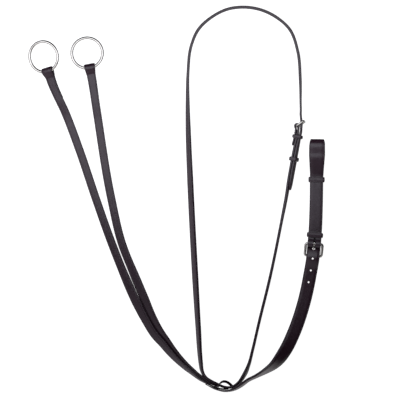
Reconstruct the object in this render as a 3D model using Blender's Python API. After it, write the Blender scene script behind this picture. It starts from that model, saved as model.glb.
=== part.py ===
"""Running martingale in black leather, laid out flat: chest strap with
adjustable girth loop, two fork straps with rings, buckled neck strap."""
import bpy
import bmesh
import math
import numpy as np
from mathutils import Vector

MM = 0.001

# ---- driving dimensions (mm) ----
NARROW_WIDTH = 12.5       # neck strap and fork straps
NARROW_THICK = 3.2
WIDE_WIDTH = 20.0         # chest strap and girth strap
WIDE_THICK = 3.5
GIRTH_LOOP_WIDTH = 24.2   # widened leather round the girth
GIRTH_FOLD_WIDTH = 20.4   # drawn in again where it folds
LAYER_GAP = 0.5
KEEPER_GAP = 0.6
STATION_STEP = 6.0        # spacing of loft stations

RING_RADIUS = 23.0        # to the centre of the wire
RING_WIRE = 2.1           # wire radius
RING_END_WIDTH = 16.5     # fork strap where it takes the ring
RING_END_THICK = 2.4
RING_EYE = 3.3            # inside radius of the leather eye
RING_SAG = 0.75           # hinge line sits this far inside the wire centre

NECK_BAR = 1.3            # buckle wire radii
CHEST_BAR = 1.9
NECK_TONGUE = 1.0
CHEST_TONGUE = 1.25
NECK_FRAME_LENGTH = 12.6
NECK_FRAME_PITCH = 46.0    # degrees the frame stands off the strap
CHEST_FRAME_LENGTH = 19.2
CHEST_FRAME_PITCH = 15.0
KEEPER_THICK = 1.4
SLIDE_GAP = 0.9           # round the keeper that slides on the twisting neck strap
SKIVED_THICK = 1.7        # thinned strap ends at the junction
CHAPE_THICK = 2.4         # thinned leather round the neck buckle bar

BASE_POINT = (0.5, 0.25, 0.0)       # puts the origin under the middle of the layout
NECK_PIVOT = (72.5, -250.5, 8.0)   # middle of the bend that runs through the loop

# ---- strap routes in plan: x, y, roll in degrees, lift ----
NECK_ROUTE = [
    (182.4, 109.2, -86, 3.9), (180.2, 94, -82, 3.6), (177.0, 78, -74, 2.8),
    (171.8, 50, -72, 2.6), (167.9, 28, -74, 1.2), (164.6, 7, -80, 0),
    (157, -32, -88, 0), (139.5, -117, -90, 0), (122.2, -188, -90, 0), (113.4, -226, -88, 0.3),
    (108, -247, -82, 1), (101.2, -263, -66, 2), (91.5, -276, -80, 2.6), (82, -281.8, -84, 2.6),
    (72.5, -282, -84, 2.6), (66.2, -280.0, -84, 2.6), (61.3, -277.6, -84, 2.6),
    (50.8, -272.4, -84, 2.6), (44.9, -268.8, -83, 2.2), (40.2, -263.6, -80, 1.2),
    (37.0, -255.6, -75, 0.4), (35.8, -247, -71, 0), (31.7, -190, -66, 0), (27.4, -118, -58, 0),
    (20, 25, -60, 0), (17, 98, -68, 0), (16, 145, -80, 0), (16.5, 188, -90, 0),
    (21.5, 230, -90, 0), (32, 254, -86, 0), (52, 272.5, -88, 0), (76, 284.5, -90, 0),
    (100.5, 287.5, -90, 0), (124, 284, -90, 0), (149, 272.3, -90, 0), (169, 254, -86, 0),
    (180.8, 222, -90, 0), (184.7, 180, -90, 0), (185.2, 146, -90, 1.4),
    (185.2, 127, -88, 3.4)]

CHEST_ROUTE = [
    (42.5, -277.3, 84, 0), (47.1, -279.8, 85, 0), (58.9, -285.2, 86, 0), (70.6, -287.8, 86, 0),
    (82.2, -286.2, 84, 0), (94.6, -280.0, 78, 0), (106.2, -271.6, 80, 0), (118.5, -265.5, 80, 0),
    (131, -258.5, 70, 0), (143.5, -250, 55, 0), (154, -239, 30, 0), (162.5, -226.5, 18, 0),
    (174.5, -202, 4, 0), (187, -167, 0, 0), (194.6, -138, 0, 0), (199.3, -114, 0, 1.2),
    (202.3, -97, 0, 2.3), (205.6, -67, 0, 2.3), (207.3, -46, 0, 2.3), (208.6, -10, 0, 2.3),
    (209.3, 34, 0, 2.3), (209.8, 56, 0, 0.8), (210.2, 88, 0, 0)]

LEFT_FORK_ROUTE = [
    (-191.8, 192, 24, 4.5), (-186.4, 173.8, 18, 3.5), (-168.8, 133.3, 6, 0.8), (-145.4, 71, 0, 0),
    (-121.8, 1, 0, 0), (-96.3, -70.5, 0, 0), (-76, -121, 2, 0), (-60, -157, 15, 0),
    (-47.5, -181, 20, 0), (-32.3, -205.3, 26, 0), (-21.8, -216.8, 33, 0), (-12, -228.5, 40, 0),
    (-1, -240.2, 52, 0), (12.5, -252.6, 62, 0), (24.2, -262, 72, 0), (35.6, -271, 80, 0),
    (48, -277.8, 84, 0), (62.3, -284.1, 86, 0)]

RIGHT_FORK_ROUTE = [
    (-130.7, 197, 0, 0), (-128.1, 183, 0, 0), (-120.5, 133.5, 0, 0), (-98.4, 0, 0, 0),
    (-82.8, -66, 0, 0), (-63, -116, 2, 0), (-48, -151.5, 15, 0), (-37.5, -176, 20, 0),
    (-24.8, -199.7, 26, 0), (-16, -212.2, 33, 0), (-7.3, -224.5, 40, 0), (2.7, -236.6, 52, 0),
    (15.2, -249.4, 62, 0), (26.5, -259, 72, 0), (37.4, -268.2, 80, 0), (49.1, -275.6, 84, 0),
    (63, -282, 86, 0)]


# ---- scene set-up ----
def clear_scene():
    for old in list(bpy.data.objects):
        bpy.data.objects.remove(old, do_unlink=True)


def make_collection(name):
    collection = bpy.data.collections.new(name)
    bpy.context.scene.collection.children.link(collection)
    return collection


def make_material(name, colour, roughness, metallic):
    material = bpy.data.materials.new(name)
    material.use_nodes = True
    shader = material.node_tree.nodes["Principled BSDF"]
    shader.inputs["Base Color"].default_value = (*colour, 1.0)
    shader.inputs["Roughness"].default_value = roughness
    shader.inputs["Metallic"].default_value = metallic
    material.diffuse_color = (*colour, 1.0)
    return material


# ---- routes ----
def smooth(values, span):
    """Moving average over span samples with repeated end values."""
    padded = np.concatenate([np.full(span, values[0]), values, np.full(span, values[-1])])
    kernel = np.ones(2 * span + 1) / (2 * span + 1)
    return np.convolve(padded, kernel, mode="valid")


class Guide:
    """Plan curve with roll and height; s runs along it in mm."""

    def __init__(self, route, width, thick, closed=False):
        points = np.array(route, dtype=float)
        self.closed = closed
        if closed:
            points = np.vstack([points[-2:], points, points[:3]])
        else:
            first = 2 * points[0] - points[1]
            last = 2 * points[-1] - points[-2]
            points = np.vstack([first, points, last])
        dense = self.catmull(points, 2 if closed else 1)
        span = 8
        if closed:
            count = len(dense)
            tripled = np.vstack([dense, dense, dense])
            roll = smooth(tripled[:, 2], span)[count:2 * count]
            lift = smooth(tripled[:, 3], span)[count:2 * count]
        else:
            roll = smooth(dense[:, 2], span)
            lift = smooth(dense[:, 3], span)
        plan = dense[:, :2]
        if closed:
            plan = np.vstack([plan, plan[:1]])
            roll = np.append(roll, roll[0])
            lift = np.append(lift, lift[0])
        steps = np.hypot(*np.diff(plan, axis=0).T)
        self.s = np.concatenate([[0.0], np.cumsum(steps)])
        self.length = self.s[-1]
        self.plan = plan
        self.roll = np.radians(roll)
        rise = width * np.abs(np.sin(self.roll)) + thick * np.abs(np.cos(self.roll))
        self.z = lift + 0.5 * rise

    @staticmethod
    def catmull(points, pad):
        """Cubic through the points, about one sample per millimetre."""
        gaps = np.hypot(*np.diff(points[:, :2], axis=0).T)
        t = np.concatenate([[0.0], np.cumsum(gaps)])
        slope = np.zeros_like(points)
        for i in range(1, len(points) - 1):
            before = (points[i] - points[i - 1]) / (t[i] - t[i - 1])
            after = (points[i + 1] - points[i]) / (t[i + 1] - t[i])
            share = (t[i] - t[i - 1]) / (t[i + 1] - t[i - 1])
            slope[i] = before * (1 - share) + after * share
        last = len(points) - 1 - pad
        rows = []
        for i in range(pad, last):
            width = t[i + 1] - t[i]
            count = max(2, int(round(width)))
            for k in range(count):
                u = k / count
                hermite = ((1 + 2 * u) * (1 - u) ** 2 * points[i]
                           + u * (1 - u) ** 2 * width * slope[i]
                           + u * u * (3 - 2 * u) * points[i + 1]
                           + u * u * (u - 1) * width * slope[i + 1])
                hermite[2:] = points[i, 2:] * (1 - u) + points[i + 1, 2:] * u
                rows.append(hermite)
        if pad == 1:
            rows.append(points[last])
        return np.array(rows)

    def frame(self, s):
        """Point, travel, side and face directions at distance s."""
        extra = 0.0
        if self.closed:
            s = s % self.length
        elif s < 0.0:
            extra, s = s, 0.0
        elif s > self.length:
            extra, s = s - self.length, self.length
        ahead, behind = s + 3.0, s - 3.0
        if not self.closed:
            ahead, behind = min(ahead, self.length), max(behind, 0.0)
        delta = self.at(self.plan, ahead) - self.at(self.plan, behind)
        travel = Vector((delta[0], delta[1], 0.0)).normalized()
        left = Vector((-travel.y, travel.x, 0.0))
        roll = float(self.at(self.roll, s))
        up = Vector((0.0, 0.0, 1.0))
        side = left * math.cos(roll) + up * math.sin(roll)
        face = up * math.cos(roll) - left * math.sin(roll)
        plan = self.at(self.plan, s)
        point = Vector((plan[0], plan[1], float(self.at(self.z, s)))) + travel * extra
        return point, travel, side, face

    def at(self, values, s):
        if self.closed:
            s = s % self.length
        if values.ndim == 1:
            return np.interp(s, self.s, values)
        return np.array([np.interp(s, self.s, values[:, k]) for k in range(values.shape[1])])

    def nearest(self, x, y):
        gap = np.hypot(self.plan[:, 0] - x, self.plan[:, 1] - y)
        return float(self.s[int(np.argmin(gap))])


# ---- leather ----
def fold(s, h_from, h_to, toward, width, thick, count=12, crest=None):
    """Half-turn between two layers, toward = -1 or 1 along s; crest is its width at the turn."""
    middle = 0.5 * (h_from + h_to)
    radius = 0.5 * (h_from - h_to)
    stations = []
    for k in range(1, count):
        angle = math.pi * k / count
        across = width + ((crest or width) - width) * math.sin(angle) ** 2
        stations.append((s + toward * abs(radius) * math.sin(angle),
                         middle + radius * math.cos(angle), across, thick))
    return stations


def fill(stations, grid):
    """Adds stations on a common grid so stacked layers share stations."""
    filled = [stations[0]]
    for before, after in zip(stations[:-1], stations[1:]):
        low, high = sorted((before[0], after[0]))
        step = grid
        if abs(after[1] - before[1]) > 0.6 and high - low > 6.0:
            step = 0.5 * grid
        first = math.floor(low / step) + 1
        marks = [step * k for k in range(first, math.ceil(high / step))]
        marks = [m for m in marks if m - low > 1.0 and high - m > 1.0]
        if after[0] < before[0]:
            marks.reverse()
        for mark in marks + [after[0]]:
            u = (mark - before[0]) / (after[0] - before[0]) if high > low else 1.0
            ease = u * u * (3 - 2 * u)
            filled.append((mark,
                           before[1] + (after[1] - before[1]) * ease,
                           before[2] + (after[2] - before[2]) * u,
                           before[3] + (after[3] - before[3]) * u))
    return filled


def loft(name, corners, material, collection, closed=False):
    """Solid from rings of corner points; closed joins last to first."""
    count = len(corners[0])
    verts = [p * MM for ring in corners for p in ring]
    faces = []
    rings = len(corners)
    for i in range(rings if closed else rings - 1):
        a, b = i * count, ((i + 1) % rings) * count
        for k in range(count):
            n = (k + 1) % count
            faces.append((a + k, a + n, b + n, b + k))
    if not closed:
        faces.append(tuple(range(count - 1, -1, -1)))
        faces.append(tuple((rings - 1) * count + k for k in range(count)))
    mesh = bpy.data.meshes.new(name)
    mesh.from_pydata([tuple(v) for v in verts], [], faces)
    mesh.materials.append(material)
    work = bmesh.new()
    work.from_mesh(mesh)
    bmesh.ops.recalc_face_normals(work, faces=work.faces)
    work.to_mesh(mesh)
    work.free()
    shade_round(mesh)
    body = bpy.data.objects.new(name, mesh)
    collection.objects.link(body)
    return body


def shade_round(mesh):
    mesh.shade_smooth()
    mesh.set_sharp_from_angle(angle=math.radians(50))


def set_origin(body, origin):
    """Moves the object's own origin without moving its surface."""
    offset = Vector(origin) * MM
    for vertex in body.data.vertices:
        vertex.co -= offset
    body.location = offset


def strap(name, guide, stations, material, collection):
    """Flat leather following a guide; stations are (s, h, width, thickness)."""
    grid = guide.length / round(guide.length / STATION_STEP)
    stations = fill(stations, grid)
    centres = []
    sides = []
    for s, h, _, _ in stations:
        point, _, side, face = guide.frame(s)
        centres.append(point + face * h)
        sides.append(side)
    corners = []
    for i, (_, _, width, thick) in enumerate(stations):
        run = centres[min(i + 1, len(centres) - 1)] - centres[max(i - 1, 0)]
        run.normalize()
        side = (sides[i] - run * sides[i].dot(run)).normalized()
        normal = run.cross(side)
        across, deep = side * width * 0.5, normal * thick * 0.5
        c = centres[i]
        corners.append([c - across - deep, c + across - deep, c + across + deep, c - across + deep])
    return loft(name, corners, material, collection)


def keeper(name, guide, s, low, high, width, length, material, collection, gap=KEEPER_GAP):
    """Closed band round a stack of straps; low and high are face heights."""
    point, travel, side, face = guide.frame(s)
    middle = point + face * 0.5 * (low + high)
    rings = []
    reach = 0.5 * width + gap
    tall = 0.5 * (high - low) + gap
    for grow, along in ((0.0, -0.5), (KEEPER_THICK, -0.5), (KEEPER_THICK, 0.5), (0.0, 0.5)):
        radius = 0.6 + grow
        ring = []
        for corner in range(4):
            sx = (1, -1, -1, 1)[corner]
            sy = (1, 1, -1, -1)[corner]
            for k in range(4):
                angle = math.radians(90 * corner + 30 * k)
                x = sx * (reach + grow - radius) + radius * math.cos(angle)
                y = sy * (tall + grow - radius) + radius * math.sin(angle)
                ring.append(middle + side * x + face * y + travel * along * length)
        rings.append(ring)
    body = loft(name, rings, material, collection, closed=True)
    set_origin(body, middle)
    return body


# ---- metal ----
def wire(name, points, origin, radius, cyclic, material, collection, sides=2):
    curve = bpy.data.curves.new(name, "CURVE")
    curve.dimensions = "3D"
    curve.bevel_depth = radius * MM
    curve.bevel_resolution = sides
    curve.use_fill_caps = not cyclic
    spline = curve.splines.new("POLY")
    spline.points.add(len(points) - 1)
    for item, point in zip(spline.points, points):
        item.co = (*((point - origin) * MM), 1.0)
    spline.use_cyclic_u = cyclic
    curve.materials.append(material)
    shape = bpy.data.objects.new(name + "_curve", curve)
    mesh = bpy.data.meshes.new_from_object(shape)
    bpy.data.objects.remove(shape, do_unlink=True)
    work = bmesh.new()
    work.from_mesh(mesh)
    bmesh.ops.remove_doubles(work, verts=work.verts, dist=1e-6)
    bmesh.ops.recalc_face_normals(work, faces=work.faces)
    work.to_mesh(mesh)
    work.free()
    shade_round(mesh)
    body = bpy.data.objects.new(name, mesh)
    body.location = origin * MM
    collection.objects.link(body)
    return body


def ring(name, centre, across, toward, material, collection):
    """Round wire ring lying in the plane of the two directions."""
    bpy.ops.mesh.primitive_torus_add(major_segments=56, minor_segments=10,
                                     major_radius=RING_RADIUS * MM, minor_radius=RING_WIRE * MM)
    body = bpy.context.object
    body.name = name
    body.data.name = name
    normal = across.cross(toward).normalized()
    cols = (across.normalized(), normal.cross(across).normalized(), normal)
    for vertex in body.data.vertices:
        co = vertex.co
        vertex.co = (cols[0] * co.x + cols[1] * co.y + cols[2] * co.z) + centre * MM
    body.data.materials.append(material)
    shade_round(body.data)
    for parent in list(body.users_collection):
        parent.objects.unlink(body)
    collection.objects.link(body)
    return body


def buckle(prefix, guide, s, base, front, bar, spacing, inner, length, pitch,
           metal, collection):
    """Wire frame on its heel bar; front = 1 faces up, -1 faces down."""
    point, travel, side, face = guide.frame(s)
    along = travel * -1.0
    rise = face * front
    heel = point + face * base - rise * (0.5 * spacing)
    half = 0.5 * inner + bar
    corner = 3.2 if bar > 1.7 else 2.4
    outline = rounded_outline(length, half, corner)
    out, _ = pitched(along, rise, pitch)
    frame_points = [heel + out * a + side * x for a, x in outline]
    wire(prefix + "_buckle_frame", frame_points, heel, bar, True, metal, collection)
    return heel, along, side, rise


def pitched(along, rise, pitch):
    """The two directions turned by pitch degrees about the heel bar."""
    angle = math.radians(pitch)
    return (along * math.cos(angle) + rise * math.sin(angle),
            rise * math.cos(angle) - along * math.sin(angle))


def rounded_outline(length, half, corner):
    """Rounded rectangle from a = 0 to length and across +-half."""
    centres = [(length - corner, half - corner, 0), (length - corner, corner - half, 270),
               (corner, corner - half, 180), (corner, half - corner, 90)]
    outline = []
    for ca, cx, start in centres:
        for k in range(5):
            angle = math.radians(start + 90 - 22.5 * k)
            outline.append((ca + corner * math.cos(angle), cx + corner * math.sin(angle)))
    return outline


def tongue_path(heel, along, rise, loop, steps, start, knees):
    """Eye round the heel bar followed by the bent tongue."""
    points = []
    for k in range(steps + 1):
        angle = math.radians(start + 280.0 * (1 - k / steps))
        points.append(heel + along * (loop * math.cos(angle)) + rise * (loop * math.sin(angle)))
    for a, b in knees:
        points.append(heel + along * a + rise * b)
    return points


# ---- cutters ----
def cutter_round(name, centre, axis, radius, depth, collection, stretch=None, factor=1.0):
    bpy.ops.mesh.primitive_cylinder_add(vertices=20, radius=radius * MM, depth=depth * MM)
    body = bpy.context.object
    body.name = name
    z = axis.normalized()
    x = (stretch - z * stretch.dot(z)).normalized() if stretch else z.orthogonal().normalized()
    y = z.cross(x)
    for vertex in body.data.vertices:
        co = vertex.co
        vertex.co = x * (co.x * factor) + y * co.y + z * co.z + centre * MM
    return as_cutter(body, collection)


def cutter_box(name, centre, axes, sizes, collection):
    bpy.ops.mesh.primitive_cube_add(size=1.0)
    body = bpy.context.object
    body.name = name
    for vertex in body.data.vertices:
        co = vertex.co
        vertex.co = sum((axes[k] * (co[k] * sizes[k] * MM) for k in range(3)), Vector()) + centre * MM
    return as_cutter(body, collection)


def as_cutter(body, collection):
    work = bmesh.new()
    work.from_mesh(body.data)
    bmesh.ops.recalc_face_normals(work, faces=work.faces)
    work.to_mesh(body.data)
    work.free()
    for parent in list(body.users_collection):
        parent.objects.unlink(body)
    collection.objects.link(body)
    body.hide_render = True
    body.display_type = "WIRE"
    return body


def cut(body, cutters):
    for index, tool in enumerate(cutters):
        modifier = body.modifiers.new("cut_%d" % index, "BOOLEAN")
        modifier.operation = "DIFFERENCE"
        modifier.object = tool
        modifier.solver = "EXACT"


# ---- assemblies ----
def chape_slot(prefix, heel, along, side, rise, spacing, thick, wide, cutters):
    """Slot through a folded strap end that lets the tongue out."""
    reach = 0.5 * spacing + 0.5 * thick + 0.15
    nose = cutter_round(prefix + "_slot_nose", heel, side, reach, wide, cutters)
    box = cutter_box(prefix + "_slot", heel - along * 4.5, (along, side, rise),
                     (9.0, wide, 2 * reach), cutters)
    return [nose, box]


def neck_parts(leather, metal, parts, cutters):
    guide = Guide(NECK_ROUTE, NARROW_WIDTH, NARROW_THICK, closed=True)
    w, t = NARROW_WIDTH, NARROW_THICK
    layer = t + LAYER_GAP
    thin = CHAPE_THICK
    spacing = 2 * (NECK_BAR + 0.35) + thin
    back = 0.5 * (t + thin) + LAYER_GAP
    total = guide.length
    stations = [(30.0, -back, w, thin), (10.0, -back, w, thin), (0.0, -spacing, w, thin)]
    stations += fold(0.0, -spacing, 0.0, -1, w, thin)
    stations += [(0.0, 0.0, w, thin), (8.0, 0.0, w, thin), (20.0, 0.0, w, t),
                 (total - 40.0, 0.0, w, t), (total - 20.0, 0.0, w, t),
                 (total, layer + 0.3, w, t), (total + 7.0, layer + 0.7, w, t),
                 (total + 22.0, layer, w, t), (total + 86.0, layer, w, t),
                 (total + 92.0, layer, w * 0.86, t), (total + 97.0, layer, w * 0.3, t)]
    body = strap("neck_strap", guide, stations, leather, parts)
    set_origin(body, NECK_PIVOT)
    heel, along, side, rise = buckle(
        "neck", guide, 0.0, 0.0, 1, NECK_BAR, spacing, w + 1.0,
        NECK_FRAME_LENGTH, NECK_FRAME_PITCH, metal, parts)
    loop = NECK_BAR + 0.3 + NECK_TONGUE
    out, proud = pitched(along, rise, NECK_FRAME_PITCH)
    knees = [(3.0, loop), (8.0, loop + 0.1), (NECK_FRAME_LENGTH + 1.4, loop - 0.1)]
    path = tongue_path(heel, out, proud, loop, 10, 90.0, knees)
    wire("neck_buckle_tongue", path, heel, NECK_TONGUE, False, metal, parts, 1)
    slot = chape_slot("neck", heel, along, side, rise, spacing, thin, 3.6, cutters)
    hole = cutter_round("neck_pin_hole", heel + out * 6.6 + proud * loop, out, 2.0, 7.0,
                        cutters, along, 1.2)
    cut(body, slot + [hole])
    keeper("neck_fixed_keeper", guide, 16.0, -back - 0.5 * thin - 0.2, layer + 0.5 * t + 0.5,
           w, 5.0, leather, parts)
    keeper("neck_sliding_keeper", guide, 50.0, -0.5 * t, layer + 0.5 * t, w, 6.0,
           leather, parts, SLIDE_GAP)


def chest_parts(leather, metal, parts, cutters):
    guide = Guide(CHEST_ROUTE, WIDE_WIDTH, WIDE_THICK)
    w, t = WIDE_WIDTH, WIDE_THICK
    layer = t + LAYER_GAP
    spacing = 2 * (CHEST_BAR + 0.5) + t
    at_bar = guide.nearest(205.6, -66.5)
    top = guide.length
    stations = [(0.0, 0.0, 14.0, SKIVED_THICK), (24.0, 0.0, w, SKIVED_THICK),
                (50.0, 0.0, w, t), (at_bar - 62.0, 0.0, w, t), (at_bar - 40.0, 0.0, w, t),
                (at_bar - 21.0, 7.4, w, t), (at_bar + 1.0, 0.0, w, t), (at_bar + 48.0, 0.0, w, t),
                (at_bar + 56.0, 0.0, w * 0.8, t), (at_bar + 61.0, 0.0, w * 0.3, t)]
    body = strap("chest_strap", guide, stations, leather, parts)
    wide = GIRTH_LOOP_WIDTH
    turn = 8.0
    girth = [(at_bar + 19.0, 2 * layer, w, t), (at_bar + 8.0, 2 * layer, w, t),
             (at_bar, layer + spacing, w, t)]
    girth += fold(at_bar, layer + spacing, layer, -1, w, t)
    girth += [(at_bar, layer, w, t), (top - 68.0, layer, w, t), (top - 56.0, layer, w, t),
              (top - 22.0, 2 * turn - 2.0, wide - 1.4, t), (top - turn, 2 * turn, wide - 1.4, t)]
    girth += fold(top - turn, 2 * turn, 0.0, 1, wide - 0.7, t, 14, GIRTH_FOLD_WIDTH)
    girth += [(top - turn, 0.0, wide - 0.4, t), (top - 22.0, 0.0, wide, t),
              (top - 52.0, 0.0, w, t), (top - 76.0, 0.0, w, t)]
    loop_body = strap("girth_strap", guide, girth, leather, parts)
    heel, along, side, rise = buckle(
        "chest", guide, at_bar, layer, -1, CHEST_BAR, spacing, w + 1.5,
        CHEST_FRAME_LENGTH, CHEST_FRAME_PITCH, metal, parts)
    loop = CHEST_BAR + 0.3 + CHEST_TONGUE
    knees = [(6.2, 3.4), (8.8, 7.6), (12.0, 8.6), (19.8, 8.4)]
    path = tongue_path(heel, along, rise, loop, 10, 70.0, knees)
    wire("chest_buckle_tongue", path, heel, CHEST_TONGUE, False, metal, parts, 1)
    slot = chape_slot("chest", heel, along, side, rise, spacing, t, 4.4, cutters)
    cut(loop_body, slot)
    holes = [cutter_round("chest_pin_hole", heel + along * 7.6 + rise * 5.6,
                          rise * 0.75 + along * 0.66, 2.3, 10.0, cutters, along, 1.25)]
    for index in range(3):
        point, _, _, face = guide.frame(at_bar - 22.4 - 18.0 * index)
        holes.append(cutter_round("chest_hole_%d" % index, point, face, 1.7, 24.0, cutters))
    cut(body, holes)
    keeper("chest_fixed_keeper", guide, at_bar + 13.0, -0.5 * t, 2 * layer + 0.5 * t, w, 7.0,
           leather, parts)
    keeper("girth_loop_keeper", guide, top - 59.0, -0.5 * t, layer + 0.5 * t, w, 8.0,
           leather, parts)


def fork_parts(leather, metal, parts):
    for label, route in (("left", LEFT_FORK_ROUTE), ("right", RIGHT_FORK_ROUTE)):
        guide = Guide(route, NARROW_WIDTH, NARROW_THICK)
        w, t = NARROW_WIDTH, NARROW_THICK
        spacing = 2 * RING_EYE + RING_END_THICK
        thin = RING_END_THICK
        layer = 0.5 * (t + thin) + LAYER_GAP
        end = guide.length
        stations = [(46.0, 0.0, w, thin), (10.0, 0.0, 13.6, thin), (0.0, 0.0, RING_END_WIDTH, thin)]
        stations += fold(0.0, 0.0, spacing, -1, RING_END_WIDTH, thin)
        stations += [(0.0, spacing, RING_END_WIDTH, thin), (11.0, layer + 0.2, 13.6, t),
                     (30.0, layer, w, t), (48.0, layer, w, t), (72.0, 0.0, w, t),
                     (end - 40.0, 0.0, w, t), (end - 14.0, 0.0, w, SKIVED_THICK),
                     (end, 0.0, w, SKIVED_THICK)]
        strap("fork_strap_" + label, guide, stations, leather, parts)
        point, travel, side, face = guide.frame(0.0)
        eye = point + face * 0.5 * spacing
        droop = math.asin((eye.z - RING_WIRE) / (2 * RING_RADIUS)) if label == "right" else 0.0
        toward = (travel * -math.cos(droop) - face * math.sin(droop)).normalized()
        centre = eye + toward * (RING_RADIUS - RING_SAG)
        body = ring("ring_" + label, centre, side, toward, metal, parts)
        set_origin(body, eye)


def junction_loop(leather, parts):
    """Narrow strip over, round and under the neck strap."""
    route = [(55.2, -280.2, 17.9, 90), (59.2, -281.5, 17.9, 90), (62.0, -279.3, 17.9, 88),
             (64.2, -274.9, 17.4, 84), (69.4, -271.8, 12.5, 66), (75.6, -273.0, 7.0, 50),
             (80.0, -276.4, 3.4, 30), (82.5, -280.0, 1.1, 8), (83.6, -282.5, 0.95, 0),
             (84.2, -284.6, 0.95, 0)]
    points = np.array(route)
    corners = []
    t = np.linspace(0, len(points) - 1, 25)
    width, thick = 4.2, 1.5
    dense = np.array([[np.interp(v, range(len(points)), points[:, k]) for k in range(4)]
                      for v in t])
    for k in range(4):
        dense[:, k] = smooth(dense[:, k], 1)
    for i in range(len(dense)):
        before, after = dense[max(i - 1, 0)], dense[min(i + 1, len(dense) - 1)]
        run = Vector(after[:3] - before[:3]).normalized()
        flat = Vector((run.x, run.y, 0.0)).normalized()
        left = Vector((-flat.y, flat.x, 0.0))
        roll = math.radians(dense[i, 3])
        side = left * math.cos(roll) + Vector((0.0, 0.0, 1.0)) * math.sin(roll)
        side = (side - run * side.dot(run)).normalized()
        normal = run.cross(side)
        c = Vector(dense[i, :3])
        across, deep = side * width * 0.5, normal * thick * 0.5
        corners.append([c - across - deep, c + across - deep, c + across + deep, c - across + deep])
    return loft("junction_loop", corners, leather, parts)


def build():
    clear_scene()
    parts = make_collection("running_martingale")
    cutters = make_collection("cutters")
    strap_leather = make_material("strap_leather", (0.018, 0.012, 0.017), 0.42, 0.0)
    nickel = make_material("nickel", (0.78, 0.77, 0.75), 0.16, 1.0)
    neck_parts(strap_leather, nickel, parts, cutters)
    chest_parts(strap_leather, nickel, parts, cutters)
    fork_parts(strap_leather, nickel, parts)
    junction_loop(strap_leather, parts)
    anchor = bpy.data.objects.new("layout_anchor", None)
    bpy.context.scene.collection.objects.link(anchor)
    anchor.location = Vector(BASE_POINT) * MM
    for body in list(parts.objects) + list(cutters.objects):
        body.parent = anchor


build()
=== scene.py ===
# Running martingale laid flat: detailed leather, stitching and nickel round the CAD frame.
import math

import bmesh
import bpy
import numpy as np
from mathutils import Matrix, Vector


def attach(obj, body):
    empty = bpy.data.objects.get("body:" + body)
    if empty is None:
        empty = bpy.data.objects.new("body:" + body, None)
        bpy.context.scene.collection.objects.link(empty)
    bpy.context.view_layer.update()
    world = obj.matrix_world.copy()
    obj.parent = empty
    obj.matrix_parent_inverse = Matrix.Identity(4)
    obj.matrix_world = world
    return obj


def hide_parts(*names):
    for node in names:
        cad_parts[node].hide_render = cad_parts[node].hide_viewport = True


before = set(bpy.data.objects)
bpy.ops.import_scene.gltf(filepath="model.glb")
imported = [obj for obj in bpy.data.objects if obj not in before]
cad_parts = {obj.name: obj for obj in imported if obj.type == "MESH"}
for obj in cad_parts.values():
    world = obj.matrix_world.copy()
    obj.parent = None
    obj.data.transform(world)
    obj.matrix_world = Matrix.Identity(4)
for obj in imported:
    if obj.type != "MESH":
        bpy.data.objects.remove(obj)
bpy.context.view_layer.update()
MM = 0.001

# ---- dimensions shared with the CAD model (mm) ----
NARROW_WIDTH = 12.5
NARROW_THICK = 3.2
WIDE_WIDTH = 20.0
WIDE_THICK = 3.5
GIRTH_LOOP_WIDTH = 24.2
GIRTH_FOLD_WIDTH = 20.4
LAYER_GAP = 0.5
KEEPER_GAP = 0.6
KEEPER_THICK = 1.4
SLIDE_GAP = 0.9
RING_RADIUS = 23.0
RING_WIRE = 2.1
RING_END_WIDTH = 16.5
RING_END_THICK = 2.4
RING_EYE = 3.3
RING_SAG = 0.75
NECK_BAR = 1.3
CHEST_BAR = 1.9
NECK_TONGUE = 1.0
CHEST_TONGUE = 1.25
NECK_FRAME_LENGTH = 12.6
NECK_FRAME_PITCH = 46.0
CHEST_FRAME_LENGTH = 19.2
CHEST_FRAME_PITCH = 15.0
SKIVED_THICK = 1.7
CHAPE_THICK = 2.4
BASE_POINT = Vector((0.5, 0.25, 0.0))

# ---- dimensions of the finer pieces (mm) ----
NECK_FULLNESS = 1.1     # extra thickness of the neck strap between its ends
FORK_SPREAD = 1.0       # extra width of the fork straps where they run side by side
RING_RETURN = 46.0      # fork leather folded back behind its ring
NECK_SLOT = 3.6         # width of the slot for the neck tongue
GIRTH_SLOT = 3.5        # width of the slot for the chest tongue
NECK_HOLE = 2.0         # radius of the hole that the neck tongue is in
CHEST_HOLE = 2.35       # radius of the hole that the chest tongue is in
SPARE_HOLE = 1.35       # radius of the chest strap's other holes
HOLE_PITCH = 18.0
HOLE_LIFTS = (7.3, 0.5, 0.0)    # height of the strap's middle at each spare hole
LOOP_WIDTH = 4.2        # leather of the junction loop
LOOP_THICK = 1.5

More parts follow.
